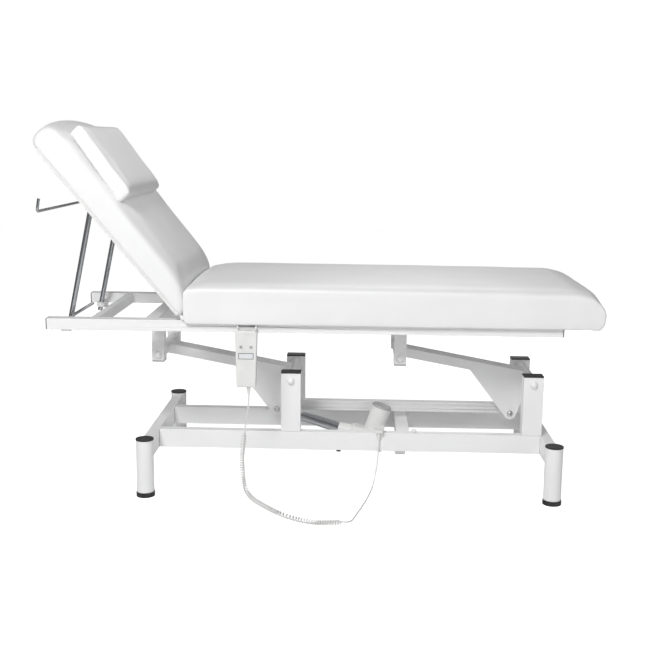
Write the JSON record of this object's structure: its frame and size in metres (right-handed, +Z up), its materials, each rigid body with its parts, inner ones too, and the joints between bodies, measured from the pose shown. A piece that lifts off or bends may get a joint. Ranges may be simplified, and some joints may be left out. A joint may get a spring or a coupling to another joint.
{
  "type": "facial treatment bed",
  "caption": "White electric facial treatment bed with a padded seat, a raised reclining backrest with pillow, a parallelogram lift with actuator, and a corded handset.",
  "frame": {"origin": "on the floor under the middle of the bed's bounding box, the cord left out", "axes": "+X towards the foot end, +Y away from the handset's side, +Z up"},
  "size_m": [1.5862, 0.8056, 1.0451],
  "materials": {
    "white_paint": "white powder coat, satin",
    "white_leather": "white leatherette, soft sheen",
    "chrome": "polished",
    "steel": "zinc plated",
    "black_plastic": "matte",
    "black_rubber": "matte",
    "white_plastic": "satin",
    "grey_plastic": "satin",
    "label_plate": "blank satin plate",
    "board": "board under white cloth",
    "cord_white": "smooth PVC"
  },
  "bodies": {
    "base": {"base_rail_near": "white_paint", "base_rail_far": "white_paint", "end_beam_head": "white_paint", "end_beam_foot": "white_paint", "foot_tubes_head": "white_paint", "foot_tubes_foot": "white_paint", "posts_head": "white_paint", "posts_foot": "white_paint", "actuator_cross_tube": "white_paint", "actuator_rear_clevis": "white_paint", "foot_pads": "black_rubber", "base_tube_caps": "black_plastic", "rail_knob": "black_plastic", "lower_pivot_shafts": "steel", "cord_socket": "white_plastic", "cord_clip": "white_plastic", "cord_plug_boot": "white_plastic", "cord_top": "cord_white", "cord_curly": "cord_white", "cord_end": "cord_white"},
    "lift_arm_head": {"lift_arm_head": "white_paint", "crank_plates_head": "white_paint"},
    "lift_arm_foot": {"lift_arm_foot": "white_paint", "crank_plates_foot": "white_paint"},
    "link_bar": {"link_bar": "white_paint", "link_bar_caps": "black_plastic", "crank_bolts": "steel"},
    "actuator_body": {"actuator_tube": "chrome", "actuator_collar": "white_plastic", "gear_housing": "white_plastic", "motor_housing": "white_plastic", "motor_end_cap": "grey_plastic"},
    "actuator_rod": {"actuator_rod": "chrome"},
    "upper_frame": {"upper_rail_near": "white_paint", "upper_rail_far": "white_paint", "end_cross_tubes": "white_paint", "lift_cross_tubes": "white_paint", "lift_hangers": "white_paint", "strut_brackets": "white_paint", "upper_pivot_shafts": "steel", "back_hinge_pins": "steel", "head_cross_rod": "chrome", "frame_tube_caps": "black_plastic", "seat_board": "board", "seat_cushion": "white_leather", "handset_shell": "white_plastic", "handset_hooks": "white_plastic", "handset_strain_relief": "white_plastic", "handset_label": "label_plate"},
    "backrest": {"back_board": "board", "back_cushion": "white_leather", "back_hinge_knuckles": "steel", "strut_shoes": "steel", "roll_holder": "chrome"},
    "pillow": {"pillow": "white_leather"},
    "strut_guides": {"strut_guides": "white_plastic"},
    "strut_rods": {"strut_rods": "chrome"},
    "button_up": {"handset_button_up": "grey_plastic"},
    "button_down": {"handset_button_down": "grey_plastic"}
  },
  "joints": [
    {"name": "lift", "type": "hinge", "parent": "base", "child": "lift_arm_head", "pos_m": [-0.096, 0, 0.312], "axis": [0, 1, 0], "range_deg": [-8, 40], "deforming": ["cord_top", "cord_curly", "cord_end"]},
    {"name": "foot_arm_turn", "type": "hinge", "parent": "base", "child": "lift_arm_foot", "pos_m": [0.616, 0, 0.312], "axis": [0, 1, 0], "range_deg": [-8.2, 40.2]},
    {"name": "frame_level", "type": "hinge", "parent": "lift_arm_head", "child": "upper_frame", "pos_m": [-0.48805, 0, 0.38395], "axis": [0, 1, 0], "range_deg": [-40.2, 8.2]},
    {"name": "link_turn", "type": "hinge", "parent": "lift_arm_head", "child": "link_bar", "pos_m": [-0.14556, 0, 0.19706], "axis": [0, 1, 0], "range_deg": [-40.2, 8.2]},
    {"name": "actuator_tilt", "type": "hinge", "parent": "base", "child": "actuator_body", "pos_m": [0.236, -0.013, 0.072], "axis": [0, 1, 0], "range_deg": [-1, 4]},
    {"name": "rod_slide", "type": "slide", "parent": "actuator_body", "child": "actuator_rod", "axis": [-0.9503, 0, 0.3115], "range_m": [-0.0165, 0.0805]},
    {"name": "backrest_recline", "type": "hinge", "parent": "upper_frame", "child": "backrest", "pos_m": [-0.392, 0, 0.518], "axis": [0, 1, 0], "range_deg": [-49.9, 0]},
    {"name": "strut_turn", "type": "hinge", "parent": "upper_frame", "child": "strut_guides", "pos_m": [-0.736, 0, 0.48], "axis": [0, 1, 0], "range_deg": [-87.63, 0.2]},
    {"name": "strut_slide", "type": "slide", "parent": "strut_guides", "child": "strut_rods", "axis": [0.2079, 0, 0.9781], "range_m": [-0.2795, 0.001]},
    {"name": "pillow_slide", "type": "slide", "parent": "backrest", "child": "pillow", "axis": [-0.5823, 0, 0.8129], "range_m": [-0.06, 0.015]},
    {"name": "button_up_press", "type": "slide", "parent": "upper_frame", "child": "button_up", "axis": [0, 1, 0], "range_m": [0, 0.0015], "stiffness_N_per_m": 800},
    {"name": "button_down_press", "type": "slide", "parent": "upper_frame", "child": "button_down", "axis": [0, 1, 0], "range_m": [0, 0.0015], "stiffness_N_per_m": 800}
  ],
  "couplings": [
    {"joint": "foot_arm_turn", "follows": "lift", "ratio": 1},
    {"joint": "frame_level", "follows": "lift", "ratio": -1},
    {"joint": "link_turn", "follows": "lift", "ratio": -1},
    {"joint": "actuator_tilt", "follows": "lift", "ratio": 0.095},
    {"joint": "rod_slide", "follows": "lift", "m_per_rad": 0.1146},
    {"joint": "strut_turn", "follows": "backrest_recline", "ratio": 1.7521},
    {"joint": "strut_slide", "follows": "backrest_recline", "m_per_rad": 0.31972}
  ]
}
